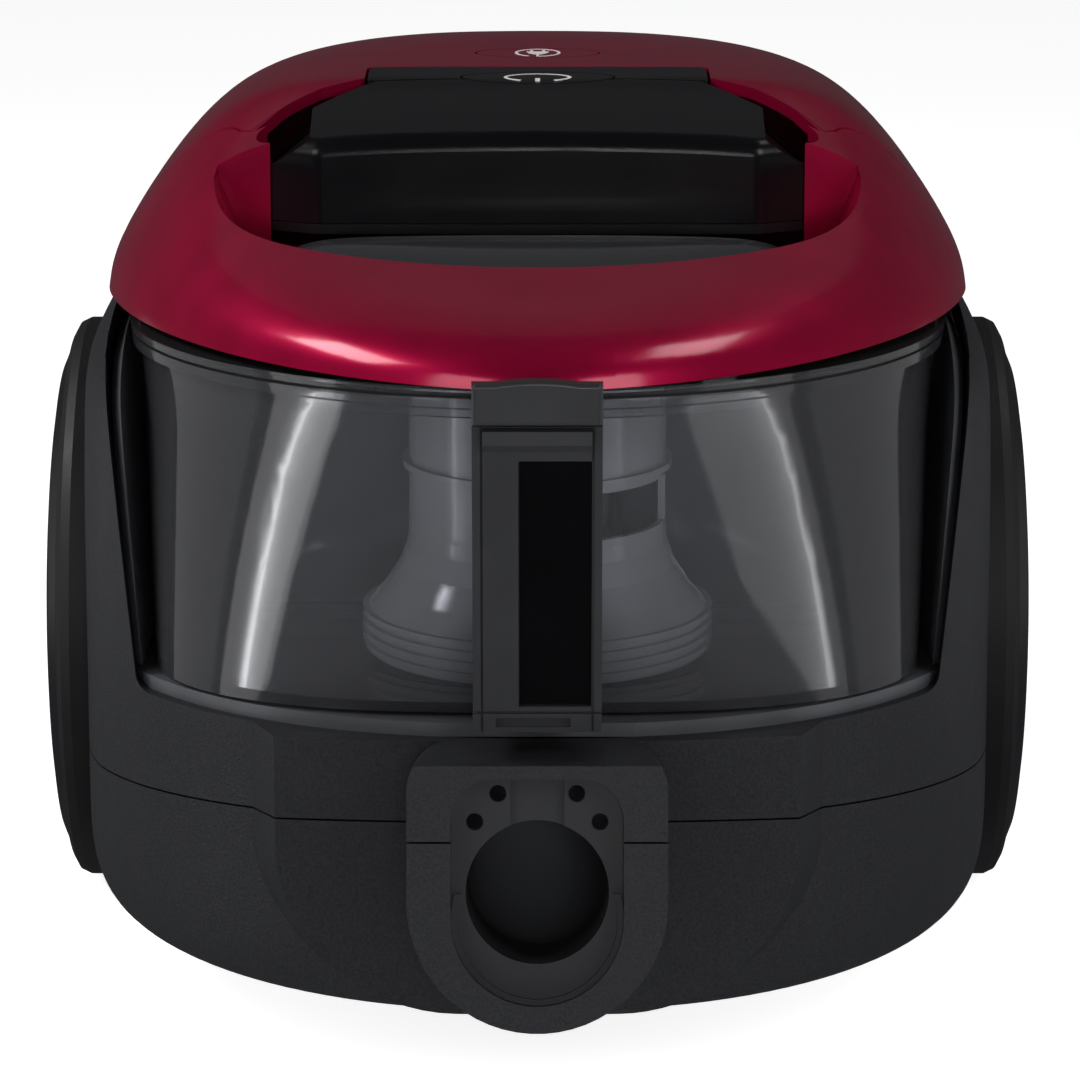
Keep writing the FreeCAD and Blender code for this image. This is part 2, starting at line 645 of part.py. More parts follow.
def bin_cradle(core):
    """Shelf under the bin and the bulkhead behind it."""
    floor = core.common(slab(0.0, BIN_LIFT - 1.0)).common(box(-119, 119, -153, 0.5, 0, 200))
    wall = core.common(box(-119, 119, -2.5, 0.5, 70, 171)).common(above_shelf(0.0))
    side = [(LINING_LOW, -260, 95), (LINING_HIGH, -260, 176), (LINING_HIGH + 3, -260, 176),
            (LINING_LOW + 3, -260, 95)]
    lining = prism(side, (0, 260.5, 0)).common(above_shelf(0.0))
    linings = core.common(lining.fuse(mirrored(lining))).cut(above_line(PARTING, -3.0))
    cradle = floor.fuse([wall, linings])
    cradle = cradle.cut(rod((0, CYCLONE_Y, 0), (0, 0, 1), RISER_R + 3.8, 200)).cut(port_form(0.0, -10, 10))
    wells = wheel_well(False)
    return cradle.cut(wells).cut(mirrored(wells))


def filter_frame():
    frame = box(-FILTER_X, FILTER_X, FILTER_Y0, FILTER_Y1, FILTER_Z0, FILTER_Z1)
    return frame.cut(box(-FILTER_X + 3, FILTER_X - 3, FILTER_Y0 - 1, FILTER_Y1 - 3, FILTER_Z0 + 3,
                         FILTER_Z1 - 3)).cut(
        box(-FILTER_X + 8, FILTER_X - 8, FILTER_Y0 - 1, FILTER_Y1 + 1, FILTER_Z0 + 8, FILTER_Z1 - 8))


def pre_filter():
    return box(-FILTER_X + 3.2, FILTER_X - 3.2, FILTER_Y0 + 3, FILTER_Y1 - 3.4, FILTER_Z0 + 3.2,
               FILTER_Z1 - 3.2)


def motor_turned(profile):
    return turned(profile, (MOTOR_X, 0, MOTOR_Z), (0, 1, 0), (0, 0, 1))


def motor_bell_front():
    y0 = MOTOR_Y0
    return motor_turned(
        [
            (y0, 18), (y0, MOTOR_R), (y0 + 26, MOTOR_R), (y0 + 26, MOTOR_R - 2.5),
            (y0 + 2.5, MOTOR_R - 2.5), (y0 + 2.5, 18)
        ]
    )


def motor_bell_rear():
    y0, y1 = MOTOR_Y0 + 26, MOTOR_Y1
    bell = motor_turned([(y0, 12), (y0, MOTOR_R), (y0 + 3, MOTOR_R), (y0 + 3, 36), (y1, 36), (y1, 8),
                         (y1 - 3, 8),
                         (y1 - 3, 33), (y0 + 3, 33), (y0 + 3, 12)])
    for k in range(8):
        slot = box(-4, 4, y0 + 20, y0 + 44, 30, 50)
        slot.rotate(V(0, 0, 0), V(0, 1, 0), 45 * k)
        slot.translate(V(MOTOR_X, 0, MOTOR_Z))
        bell = bell.cut(slot)
    return bell


def motor_stator():
    y0 = MOTOR_Y0 + 34
    return motor_turned([(y0, 24), (y0, 33), (y0 + 34, 33), (y0 + 34, 24)])


def motor_rotor():
    y0, y1 = MOTOR_Y0 + 5, MOTOR_Y1 + 2
    return motor_turned([(y0, 0), (y0, 4), (y0 + 31, 4), (y0 + 31, 22.5), (y0 + 62, 22.5), (y0 + 62, 7),
                         (y0 + 80, 7),
                         (y0 + 80, 4), (y1, 4), (y1, 0)])


def impeller():
    y0 = MOTOR_Y0 + 7
    fan = motor_turned([(y0, 16), (y0, 42), (y0 + 1.5, 42), (y0 + 1.5, 16)])
    back = motor_turned([(y0 + 12, 4), (y0 + 12, 42), (y0 + 13.5, 42), (y0 + 13.5, 4)])
    hub = motor_turned([(y0 + 4, 4), (y0 + 4, 9), (y0 + 12, 9), (y0 + 12, 4)])
    blades = []
    for k in range(9):
        blade = box(-0.7, 0.7, y0 + 1.5, y0 + 12, 16, 41)
        blade.rotate(V(0, 0, 16), V(0, 1, 0), 35)
        blade.rotate(V(0, 0, 0), V(0, 1, 0), 40 * k)
        blade.translate(V(MOTOR_X, 0, MOTOR_Z))
        blades.append(blade)
    rim = motor_turned([(y0, 4.2), (y0, 41.9), (y0 + 13.5, 41.9), (y0 + 13.5, 4.2)])
    return fan.fuse([back, hub] + [b.common(rim) for b in blades])


def motor_seal_front():
    return motor_turned([(FILTER_Y1, 30), (FILTER_Y1, 40), (MOTOR_Y0, 36), (MOTOR_Y0, 26)]).common(
        box(-FILTER_X, 60, 0, 60, FILTER_Z0 - 60, FILTER_Z1))


def motor_mount_rear():
    ring = motor_turned([(MOTOR_Y1 - 14, 36), (MOTOR_Y1 - 14, 41), (MOTOR_Y1 - 2, 41), (MOTOR_Y1 - 2, 36)])
    foot = box(MOTOR_X - 12, MOTOR_X + 12, MOTOR_Y1 - 14, MOTOR_Y1 - 2, BODY_BOTTOM + WALL, MOTOR_Z - 38)
    return ring.fuse(foot).cut(motor_turned([(0, 0), (0, 36), (200, 36), (200, 0)]))


def reel_turned(profile):
    return turned(profile, (0, REEL_Y, REEL_Z), (1, 0, 0), (0, 0, 1))


def reel_drum():
    x0, x1, r = REEL_X0, REEL_X1, REEL_R
    outside = [(x0, 5.05), (x0, r), (x0 + 2, r), (x0 + 2, 30), (x1 - 2, 30), (x1 - 2, r), (x1, r)]
    inside = [(x1, 5.05), (x1 - 3, 5.05), (x1 - 3, 27), (x0 + 3, 27), (x0 + 3, 5.05)]
    drum = reel_turned(outside + inside)
    for k in range(6):
        hole = rod((x0 - 1, REEL_Y, REEL_Z + 43), (1, 0, 0), 7.0, x1 - x0 + 2)
        hole.rotate(V(0, REEL_Y, REEL_Z), V(1, 0, 0), 60 * k)
        drum = drum.cut(hole)
    return drum


LEVER_Y0, LEVER_Y1 = 55.2, 60.8


def reel_frame():
    """Spindle plate of the reel, with ears for the brake lever."""
    x = REEL_X0 - 6.0
    plate = box(x, x + 3, REEL_Y - 22, REEL_Y + 22, BODY_BOTTOM + WALL, REEL_Z + 20)
    post = box(x, x + 3, 52, 78, REEL_Z + 20, 186)
    spindle = rod((x, REEL_Y, REEL_Z), (1, 0, 0), 5.0, REEL_X1 + 4 - x)
    ears = [box(x - 8, x, y, y + 2.5, 180, 190) for y in (52.0, 61.5)]
    pin_hole = rod((x - 4, 50, 186), (0, 1, 0), 1.5, 20)
    swing = box(x - 1, x + 4, LEVER_Y0 - 0.4, LEVER_Y1 + 0.4, 171, 190)
    return plate.fuse([post, spindle] + ears).cut(pin_hole).cut(swing)


def brake_pin():
    return rod((REEL_X0 - 10.0, 52, 186), (0, 1, 0), 1.5, 12)


def brake_lever():
    """Rocker that the rewind button tips, lifting its shoe off the reel's rim."""
    x = REEL_X0 - 10.0
    bar = box(-5, x + 3, LEVER_Y0, LEVER_Y1, 183, 189)
    arm = box(x + 3 - 6, x + 3, LEVER_Y0, LEVER_Y1, 176, 189)
    return bar.fuse(arm).cut(rod((x, 50, 186), (0, 1, 0), 1.55, 20))


def reel_spring_case():
    return reel_turned([(REEL_X1 + 4, 0), (REEL_X1 + 4, 38), (REEL_X1 + 14, 38), (REEL_X1 + 14, 0)])


def circuit_board():
    board = box(-34, 2, 100, 150, 176, 177.6)
    parts = [
        box(-30, -18, 106, 122, 177.6, 188),
        box(-12, -4, 108, 114, 177.6, 184),
        box(-28, -10, 130, 140, 177.6, 186),
    ]
    legs = [box(x, x + 4, y, y + 4, 141, 176) for x in (-34, -2) for y in (100, 128)]
    return board.fuse(parts + legs)


def power_switch():
    return box(-8, 8, 1, 20, 176, 189.4)


def exhaust_grille(outer, core):
    plug = exhaust_opening().cut(core)
    rim = plug.common(outer)
    slots = []
    for k in range(6):
        z = 86.0 + 8.4 * k
        slot = box(-50, 50, 150, 215, z - 2.2, z + 2.2)
        slots.append(slot)
    return rim.cut(Part.makeCompound(slots)).cut(box(-80, 80, 0, 160, 0, 300))


def exhaust_filter():
    block = box(-56, 56, 174, 184, 82, 132)
    folds = [box(-54 + 9 * k, -50 + 9 * k, 173, 178, 86, 128) for k in range(12)]
    return block.cut(folds)


def cord_outlet_bush():
    """Smooth bush through which the mains cord leaves."""
    body = tube((BUSH_X, 172, BUSH_Z), (0, 1, 0), 7.5, 4.5, 25)
    flange = tube((BUSH_X, 189.5, BUSH_Z), (0, 1, 0), 9.5, 4.5, 7.5)
    mouth = Part.makeCone(4.5, 7.8, 4, V(BUSH_X, 193.01, BUSH_Z), V(0, 1, 0))
    return body.fuse(flange).cut(mouth)


def bush_hole():
    return rod((BUSH_X, 140, BUSH_Z), (0, 1, 0), 7.5, 60).fuse(
        rod((BUSH_X, 189.5, BUSH_Z), (0, 1, 0), 9.5, 40)
    )


# ---- wheels and caster --------------------------------------------------------------------------
def wheel_turned(profile):
    return turned(profile, (0, WHEEL_Y, WHEEL_R), (1, 0, 0), (0, 0, 1))


def wheel_axle():
    return wheel_turned([(97, 0), (97, 10), (104, 10), (104, AXLE_R), (127, AXLE_R), (127, 0)])


def wheel_hub():
    r = AXLE_R + 0.05
    return wheel_turned([(108, r), (108, 13), (119, 15), (119, 66), (WHEEL_IN, 67), (WHEEL_IN, 71), (128, 71),
                         (128, 66), (122, 64), (122, 15), (127.5, 13), (127.5, r)])


def wheel_tyre():
    r, x0, x1 = WHEEL_R, WHEEL_IN, WHEEL_OUT - 6.0
    return wheel_turned(
        [
            (x0, 71), (x0, r - 3), (x0 + 1, r - 1), (x0 + 3, r), (x1 - 4, r), (x1 - 1.5, r - 1.2),
            (x1, r - 4), (x1, 74), (128, 73.6), (128, 71)
        ]
    )


def wheel_cap():
    """Domed cover with a shallow ring groove and a dished centre."""
    rim, x0, out = 73.2, 128.0, WHEEL_OUT
    dome = [(x0, rim), (x0 + 2.2, rim)]
    for k in range(1, 13):
        r = rim * (1 - k / 12.0)
        lift = math.sqrt(max(0.0, 1 - (r / rim) ** 2.4))
        dome.append((x0 + 2.2 + (out - x0 - 2.2) * lift, max(r, 0.0)))
    dome.append((x0, 0.0))
    cap = wheel_turned(dome)
    groove = wheel_turned([(131, 58.0), (131, 59.6), (140, 60.6), (140, 57.0)])
    hollow = wheel_turned([(127, 0), (127, 13.6), (128.3, 13.6), (128.3, 0)])
    return cap.cut(groove).cut(hollow)


def caster_fork():
    plate = rod((0, CASTER_Y, CASTER_WELL_TOP - 2.2), (0, 0, 1), 19.0, 1.8)
    arms = []
    wheel_y = CASTER_Y + CASTER_TRAIL
    for x in (-CASTER_HALF - 2.6, CASTER_HALF + 0.6):
        arm = box(x, x + 2.0, wheel_y - 4.5, wheel_y + 4.5, CASTER_R, CASTER_WELL_TOP - 2.2)
        arms.append(arm.fuse(rod((x, wheel_y, CASTER_R), (1, 0, 0), 4.5, 2.0)))
    king = rod((0, CASTER_Y, CASTER_WELL_TOP - 1.0), (0, 0, 1), 2.0, 6.0)
    fork = plate.fuse(arms + [king])
    slot = rod((-CASTER_HALF - 0.5, wheel_y, CASTER_R), (1, 0, 0), CASTER_R + 0.6, 2 * CASTER_HALF + 1.0)
    return fork.cut(slot).cut(rod((-20, wheel_y, CASTER_R), (1, 0, 0), 1.8, 40))


def caster_pin():
    return rod((-CASTER_HALF - 2.6, CASTER_Y + CASTER_TRAIL, CASTER_R), (1, 0, 0), 1.8, 2 * CASTER_HALF + 5.2)


def caster_wheel():
    h, r = CASTER_HALF, CASTER_R
    profile = [(-h, 1.85), (-h, r - 2), (-h + 2, r), (h - 2, r), (h, r - 2), (h, 1.85)]
    return turned(profile, (0, CASTER_Y + CASTER_TRAIL, CASTER_R), (1, 0, 0), (0, 0, 1))


# ---- dust bin -----------------------------------------------------------------------------------
def bin_form(shift):
    """Outer form of the bin, tall enough for its rim and lid; shift moves every wall inwards."""
    levels = [(60, 40), (60, 20), (60, 0), (62, 0), (70, 0), (90, 0), (120, 0), (150, 0), (BIN_RIM_Z, 0),
              (185, 0),
              (208, 0), (210, 0), (210, 20), (210, 40)]
    rows = []
    for z, inset in levels:
        below = (BIN_RIM_Z - z) / (BIN_RIM_Z - BIN_FLOOR_Z)
        share = max(0.0, below)
        flare = max(0.0, -below) * BIN_FLARE - inset - shift
        half, front, rear, wide_y, full, full_rear = [
            a + (b - a) * share for a, b in zip(BIN_PLAN, BIN_LOW_PLAN)
        ]
        points = outline(half + flare, front - flare, rear + max(flare, -9.0), wide_y, full, full_rear)
        rows.append([V(x, y, z) for x, y in points])
    return cup_solid(rows)


def bin_shell(outer, inner):
    shell = outer.common(slab(BIN_LIFT, RIM_LIFT)).cut(inner.common(slab(BIN_LIFT + SKIN, 300)))
    rim = bin_form(-2.4).common(slab(RIM_LIFT - 1.0, RIM_LIFT + 1.6)).cut(inner)
    shell = shell.fuse(rim)
    riser = tube((0, CYCLONE_Y, 90), (0, 0, 1), RISER_R + 2.0, RISER_R, 34).common(above_shelf(BIN_LIFT))
    shell = shell.fuse(riser).cut(rod((0, CYCLONE_Y, 60), (0, 0, 1), RISER_R, 60))
    return shell.cut(port_form(0.0, -25, 10))


def bin_gasket():
    band = bin_form(-1.2).common(slab(RIM_LIFT + 1.6, RIM_LIFT + 2.4))
    return band.cut(bin_form(SKIN))


def bin_lid():
    edge = bin_form(-2.4).common(slab(RIM_LIFT + 2.4, RIM_LIFT + 4.4))
    spigot = bin_form(SKIN + 0.15).common(slab(RIM_LIFT - 4.0, RIM_LIFT + 2.5))
    plug = bin_form(SKIN + 2.2)
    edge = edge.fuse(spigot).cut(plug.common(slab(0, RIM_LIFT + 2.6)))
    dome = bin_form(14.0).common(slab(RIM_LIFT + 4.0, RIM_LIFT + 5.6))
    dome = dome.cut(bin_form(16.5).common(slab(0, RIM_LIFT + 4.2)))
    return edge.fuse(dome)


def cyclone_cylinder():
    top = shelf_z(CYCLONE_Y) + RIM_LIFT + 2.4
    body = tube((0, CYCLONE_Y, 131), (0, 0, 1), CYCLONE_R, CYCLONE_R - 1.8, top - 131)
    shoulder = tube((0, CYCLONE_Y, 147), (0, 0, 1), CYCLONE_R + 1.6, CYCLONE_R - 1.8, 1.6)
    window = box(-12, 40, CYCLONE_Y - 40, CYCLONE_Y - 5, 133, 145)
    duct_hole = box(-PORT_HALF, PORT_HALF, CYCLONE_Y, CYCLONE_Y + 60, 0, 300).common(
        slab(PORT_LIFT0 - 1.8, PORT_LIFT1 + 1.8))
    body = body.fuse(shoulder).cut(window).cut(duct_hole)
    return body.cut(above_shelf(RIM_LIFT + 2.4))


def cyclone_skirt():
    """Bell that widens down to a stack of ribs near the floor."""
    z0 = shelf_z(CYCLONE_Y - 46) + BIN_LIFT + SKIN + 0.3
    bell = [(131.0, CYCLONE_R), (127, CYCLONE_R + 0.4), (121, CYCLONE_R + 2.5), (115, CYCLONE_R + 6.5),
            (110, CYCLONE_SKIRT - 1.5)]
    ribs = []
    z = 110.0
    while z > z0 + 1.5:
        valley = CYCLONE_SKIRT - 1.5
        ribs += [(z, CYCLONE_SKIRT), (z - 1.4, CYCLONE_SKIRT), (z - 1.4, valley), (z - 2.8, valley)]
        z -= 2.8
    out = bell + ribs
    inside = [(zz, r - 1.8) for zz, r in bell]
    low = out[-1][0]
    profile = out + [(low, CYCLONE_SKIRT - 3.3)] + [(110, CYCLONE_SKIRT - 3.3)] + inside[::-1][1:]
    return turned(profile, (0, CYCLONE_Y, 0), (0, 0, 1), (1, 0, 0))


def cyclone_mesh():
    top = shelf_z(CYCLONE_Y) + PORT_LIFT0 - 2.2
    body = tube((0, CYCLONE_Y, 128), (0, 0, 1), 22.0, 20.4, top - 128)
    for k in range(12):
        slot = box(-1.6, 1.6, CYCLONE_Y - 30, CYCLONE_Y, 132, top - 5)
        slot.rotate(V(0, CYCLONE_Y, 0), V(0, 0, 1), 30 * k)
        body = body.cut(slot)
    cap = rod((0, CYCLONE_Y, 126), (0, 0, 1), 22.0, 2.0)
    return body.fuse(cap)


def outlet_duct():
    """Channel from the top of the mesh to the port in the bin's back wall."""
    rear = BIN_REAR - SKIN - 0.2
    outer = port_form(-0.1, CYCLONE_Y, rear - 1.5)
    inner = port_form(-1.8, CYCLONE_Y - 30, 10)
    head = rod((0, CYCLONE_Y, 0), (0, 0, 1), 24.0, 300).common(slab(PORT_LIFT0, PORT_LIFT1))
    head_hollow = rod((0, CYCLONE_Y, 0), (0, 0, 1), 20.4, 300).common(slab(0, PORT_LIFT1 - 1.6))
    return outer.fuse(head).cut(inner.common(slab(PORT_LIFT0 + 1.8, PORT_LIFT1 - 1.8))).cut(head_hollow)


STRIP_HALF, STRIP_FRONT_LOW, STRIP_FRONT_HIGH = 15.5, -176.5, -184.5
STRIP_Z0, STRIP_Z1, PAD_Z0, PAD_Z1 = 100.6, 177.6, 178.4, 188.4


def bin_handle(outer):
    """Grip strip down the front of the bin."""
    low, high = STRIP_FRONT_LOW, STRIP_FRONT_HIGH
    side = [(-STRIP_HALF, low, STRIP_Z0), (-STRIP_HALF, high, STRIP_Z1), (-STRIP_HALF, -150, STRIP_Z1),
            (-STRIP_HALF, -140, STRIP_Z0)]
    strip = prism(side, (2 * STRIP_HALF, 0, 0))
    strip = strip.cut(outer)
    lip = prism(
        [(-13, high - 2.5, 173.5), (-13, high - 2.5, 176.8), (-13, high + 2, 177.6), (-13, high + 2, 170.5)],
        (26, 0, 0)
    )
    strip = strip.fuse(lip)
    panel = prism(
        [(-4.5, low - 4, 107), (-4.5, low + 1.4, 107), (-4.5, high + 2.2, 169), (-4.5, high - 4, 169)],
        (17.5, 0, 0)
    )
    strip = strip.cut(panel)
    foot = box(-10, 8, low - 5, low + 1.5, STRIP_Z0 + 1.2, 104.2)
    rim = bin_form(-2.4).common(slab(RIM_LIFT - 1.2, RIM_LIFT + 4.6))
    for x in (-13.6, 13.0):
        side = [
            (x, low - 4, STRIP_Z0), (x, low + 0.7, STRIP_Z0),
            (x, high + 0.7, STRIP_Z1), (x, high - 4, STRIP_Z1),
        ]
        groove = prism(side, (0.6, 0, 0))
        strip = strip.cut(groove)
    band = box(-STRIP_HALF - 1, STRIP_HALF + 1, low - 5, low + 0.6, 105.2, 105.9)
    pocket = box(-7.5, 7.5, -182.8, -176.2, 170.0, 180.0)
    return strip.cut(foot).cut(band).cut(rim).cut(pocket)


PAD_FRONT, PAD_BACK = -188.0, -183.9


def push_button():
    """Release pad above the strip, with a foot below the cover's edge and a tongue in the strip."""
    k = STRIP_HALF
    pad = box(-k, k, PAD_FRONT, PAD_BACK, PAD_Z0, PAD_Z1)
    arch = rod((0, PAD_FRONT, PAD_Z1 - 61.2), (0, 1, 0), 62.0, PAD_BACK - PAD_FRONT)
    arch = arch.common(box(-k, k, PAD_FRONT, PAD_BACK, PAD_Z1 - 5, PAD_Z1 + 5))
    pad = pad.fuse(arch)
    edges = [e for e in pad.Edges if e.BoundBox.YMax < PAD_FRONT + 0.2]
    pad = pad.makeFillet(1.0, edges)
    foot = box(-k, k, PAD_BACK - 1.0, PAD_BACK + 4.4, PAD_Z0, PAD_Z0 + 5.2)
    tongue = box(-7, 7, -182.4, -180.0, 171.0, PAD_Z0 + 1.0)
    return pad.fuse([foot, tongue])


# ---- writing out --------------------------------------------------------------------------------
def build():
    outer, core = body_outer(), body_core()
    shell = housing_shell()
    cover_outer = cover_solid(0.0)
    cover = top_cover(cover_outer)
    bin_outer, bin_inner = bin_form(0.0), bin_form(SKIN)
    made = {
        "lower_housing": lower_housing(shell),
        "upper_housing": upper_housing(shell).cut(bush_hole()),
        "top_cover_front": top_cover_front(cover),
        "top_cover_rear": top_cover_rear(cover),
        "handle_grip": handle_grip(cover_outer),
        "handle_underside": handle_underside(),
        "lid_window": lid_window(),
        "control_strip": control_strip(cover_outer),
        "power_button": power_button(cover_outer),
        "power_switch": power_switch(),
        "power_spring": power_spring(),
        "rewind_button": rewind_button(cover_outer),
        "rewind_spring": rewind_spring(),
        "rewind_guide": rewind_guide(),
        "brake_lever": brake_lever(),
        "brake_pin": brake_pin(),
        "inlet_faceplate": inlet_faceplate(),
        "faceplate_screws": faceplate_screws(),
        "inlet_tube": inlet_tube(),
        "inlet_duct": inlet_duct(),
        "port_seal": port_seal(),
        "bin_cradle": bin_cradle(core),
        "filter_frame": filter_frame(),
        "pre_filter": pre_filter(),
        "motor_seal_front": motor_seal_front(),
        "motor_bell_front": motor_bell_front(),
        "motor_bell_rear": motor_bell_rear(),
        "motor_stator": motor_stator(),
        "motor_rotor": motor_rotor(),
        "impeller": impeller(),
        "motor_mount_rear": motor_mount_rear(),
        "reel_drum": reel_drum(),
        "reel_frame": reel_frame(),
        "reel_spring_case": reel_spring_case(),
        "circuit_board": circuit_board(),
        "exhaust_filter": exhaust_filter(),
        "exhaust_grille": exhaust_grille(outer, core),
        "cord_outlet_bush": cord_outlet_bush(),
        "caster_fork": caster_fork(),
        "caster_pin": caster_pin(),
        "caster_wheel": caster_wheel(),
        "bin_shell": bin_shell(bin_outer, bin_inner),
        "bin_gasket": bin_gasket(),
        "bin_lid": bin_lid(),
        "cyclone_cylinder": cyclone_cylinder(),
        "cyclone_skirt": cyclone_skirt(),
        "cyclone_mesh": cyclone_mesh(),
        "outlet_duct": outlet_duct(),
        "bin_handle": bin_handle(bin_outer),
        "push_button": push_button(),
    }
    for name, piece in (
        ("wheel_axle", wheel_axle()), ("wheel_hub", wheel_hub()), ("wheel_tyre", wheel_tyre()),
        ("wheel_cap", wheel_cap())
    ):
        made[name + "_right"] = piece
        made[name + "_left"] = mirrored(piece)
    return made


def main():
    os.makedirs("parts", exist_ok=True)
    for name, shape in build().items():
        shape.exportStep("parts/" + name + ".step")


if __name__ == "__main__":
    main()
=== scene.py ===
import json
import math
import bpy
import bmesh
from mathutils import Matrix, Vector


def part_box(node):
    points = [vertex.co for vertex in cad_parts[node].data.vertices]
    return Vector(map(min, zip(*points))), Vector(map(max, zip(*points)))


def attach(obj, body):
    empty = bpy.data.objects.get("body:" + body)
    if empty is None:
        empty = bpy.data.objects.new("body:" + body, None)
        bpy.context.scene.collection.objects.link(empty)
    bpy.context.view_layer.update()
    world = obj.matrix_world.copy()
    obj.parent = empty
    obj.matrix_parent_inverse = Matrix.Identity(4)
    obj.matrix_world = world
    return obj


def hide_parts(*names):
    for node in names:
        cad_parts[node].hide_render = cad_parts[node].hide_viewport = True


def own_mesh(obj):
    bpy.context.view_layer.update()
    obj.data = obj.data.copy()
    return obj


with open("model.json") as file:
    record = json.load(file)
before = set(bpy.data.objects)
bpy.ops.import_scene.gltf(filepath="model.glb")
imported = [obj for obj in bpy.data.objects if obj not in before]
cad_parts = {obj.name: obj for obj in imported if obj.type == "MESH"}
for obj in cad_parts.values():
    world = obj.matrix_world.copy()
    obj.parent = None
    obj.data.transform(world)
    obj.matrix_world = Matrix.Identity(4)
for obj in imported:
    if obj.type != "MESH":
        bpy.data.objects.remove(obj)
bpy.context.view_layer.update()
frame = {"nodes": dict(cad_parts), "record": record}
NODES = frame["nodes"]


# ---- shader building blocks ---------------------------------------------------------------------
def shader_tree(name):
    material = bpy.data.materials.new(name)
    material.use_nodes = True
    tree = material.node_tree
    tree.nodes.clear()
    out = tree.nodes.new("ShaderNodeOutputMaterial")
    coords = tree.nodes.new("ShaderNodeTexCoord")
    return material, tree, out, coords


def noise(tree, coords, scale, detail=2.0):
    node = tree.nodes.new("ShaderNodeTexNoise")
    node.inputs["Scale"].default_value = scale
    node.inputs["Detail"].default_value = detail
    tree.links.new(coords.outputs["Object"], node.inputs["Vector"])
    return node


def ramp(tree, source, low, high, start=0.35, end=0.65):
    """Colour that runs from low to high as the source goes from start to end."""
    node = tree.nodes.new("ShaderNodeValToRGB")
    node.color_ramp.elements[0].position = start
    node.color_ramp.elements[0].color = (*low, 1)
    node.color_ramp.elements[1].position = end
    node.color_ramp.elements[1].color = (*high, 1)
    tree.links.new(source, node.inputs["Fac"])
    return node


def spread(tree, source, low, high, start=0.3, end=0.7):
    """Number that runs from low to high as the source goes from start to end."""
    node = tree.nodes.new("ShaderNodeMapRange")
    node.inputs["From Min"].default_value = start
    node.inputs["From Max"].default_value = end
    node.inputs["To Min"].default_value = low
    node.inputs["To Max"].default_value = high
    tree.links.new(source, node.inputs["Value"])
    return node


def shades(color, by):
    """Darker and lighter shade of a colour."""
    low = tuple(c * (1 - by) for c in color)
    high = tuple(min(1.0, c * (1 + by)) for c in color)
    return low, high


# ---- kinds of material --------------------------------------------------------------------------
WHITE = (1.0, 1.0, 1.0)
GRAIN_DETAIL = 3.0
GRAIN_STRENGTH = 0.6
METAL_GRAIN = 300.0
CLOUD_PATCH, CLOUD_SWING = 40.0, 0.03
MILK_ROUGH = 0.6
CLEAR_IOR = 1.45


def plastic(name, color, rough, by=0.08, patch=60.0, grain=None, depth=0.00012, coat=0.0,
            coat_rough=0.05, coat_ior=1.5, metallic=0.0, specular=0.5, edge=WHITE, speckle=0.0):
    """Moulded plastic: slightly uneven colour and gloss, with an optional moulded grain or lacquer."""
    material, tree, out, coords = shader_tree(name)
    shader = tree.nodes.new("ShaderNodeBsdfPrincipled")
    shader.inputs["Metallic"].default_value = metallic
    shader.inputs["Coat Weight"].default_value = coat
    shader.inputs["Coat Roughness"].default_value = coat_rough
    shader.inputs["Coat IOR"].default_value = coat_ior
    shader.inputs["Specular IOR Level"].default_value = specular
    shader.inputs["Specular Tint"].default_value = (*edge, 1.0)
    patches = noise(tree, coords, patch)
    dots = noise(tree, coords, grain, GRAIN_DETAIL) if speckle else patches
    low, high = shades(color, speckle or by)
    tint = ramp(tree, dots.outputs["Fac"], low, high)
    tree.links.new(tint.outputs["Color"], shader.inputs["Base Color"])
    gloss = spread(tree, patches.outputs["Fac"], rough * 0.92, rough * 1.08)
    tree.links.new(gloss.outputs["Result"], shader.inputs["Roughness"])
    if grain:
        bumps = noise(tree, coords, grain, GRAIN_DETAIL)
        bump = tree.nodes.new("ShaderNodeBump")
        bump.inputs["Strength"].default_value = GRAIN_STRENGTH
        bump.inputs["Distance"].default_value = depth
        tree.links.new(bumps.outputs["Fac"], bump.inputs["Height"])
        tree.links.new(bump.outputs["Normal"], shader.inputs["Normal"])
    tree.links.new(shader.outputs["BSDF"], out.inputs["Surface"])
    return material


def clear_plastic(name, tint, body, haze, gloss_rough):
    """Smoke-tinted clear plastic: see-through, with a faint milky haze and a glossy face."""
    material, tree, out, coords = shader_tree(name)
    through = tree.nodes.new("ShaderNodeBsdfTransparent")
    cloud = noise(tree, coords, CLOUD_PATCH)
    low, high = shades(tint, CLOUD_SWING)
    smoke = ramp(tree, cloud.outputs["Fac"], low, high)
    tree.links.new(smoke.outputs["Color"], through.inputs["Color"])
    milk = tree.nodes.new("ShaderNodeBsdfPrincipled")
    milk.inputs["Base Color"].default_value = (*body, 1)
    milk.inputs["Roughness"].default_value = MILK_ROUGH
    milk.inputs["Specular IOR Level"].default_value = 0.0
    veil = tree.nodes.new("ShaderNodeMixShader")
    veil.inputs["Fac"].default_value = haze
    tree.links.new(through.outputs["BSDF"], veil.inputs[1])
    tree.links.new(milk.outputs["BSDF"], veil.inputs[2])
    gloss = tree.nodes.new("ShaderNodeBsdfGlossy")
    gloss.inputs["Roughness"].default_value = gloss_rough
    fresnel = tree.nodes.new("ShaderNodeFresnel")
    fresnel.inputs["IOR"].default_value = CLEAR_IOR
    face = tree.nodes.new("ShaderNodeMixShader")
    tree.links.new(fresnel.outputs["Fac"], face.inputs["Fac"])
    tree.links.new(veil.outputs["Shader"], face.inputs[1])
    tree.links.new(gloss.outputs["BSDF"], face.inputs[2])
    tree.links.new(face.outputs["Shader"], out.inputs["Surface"])
    return material


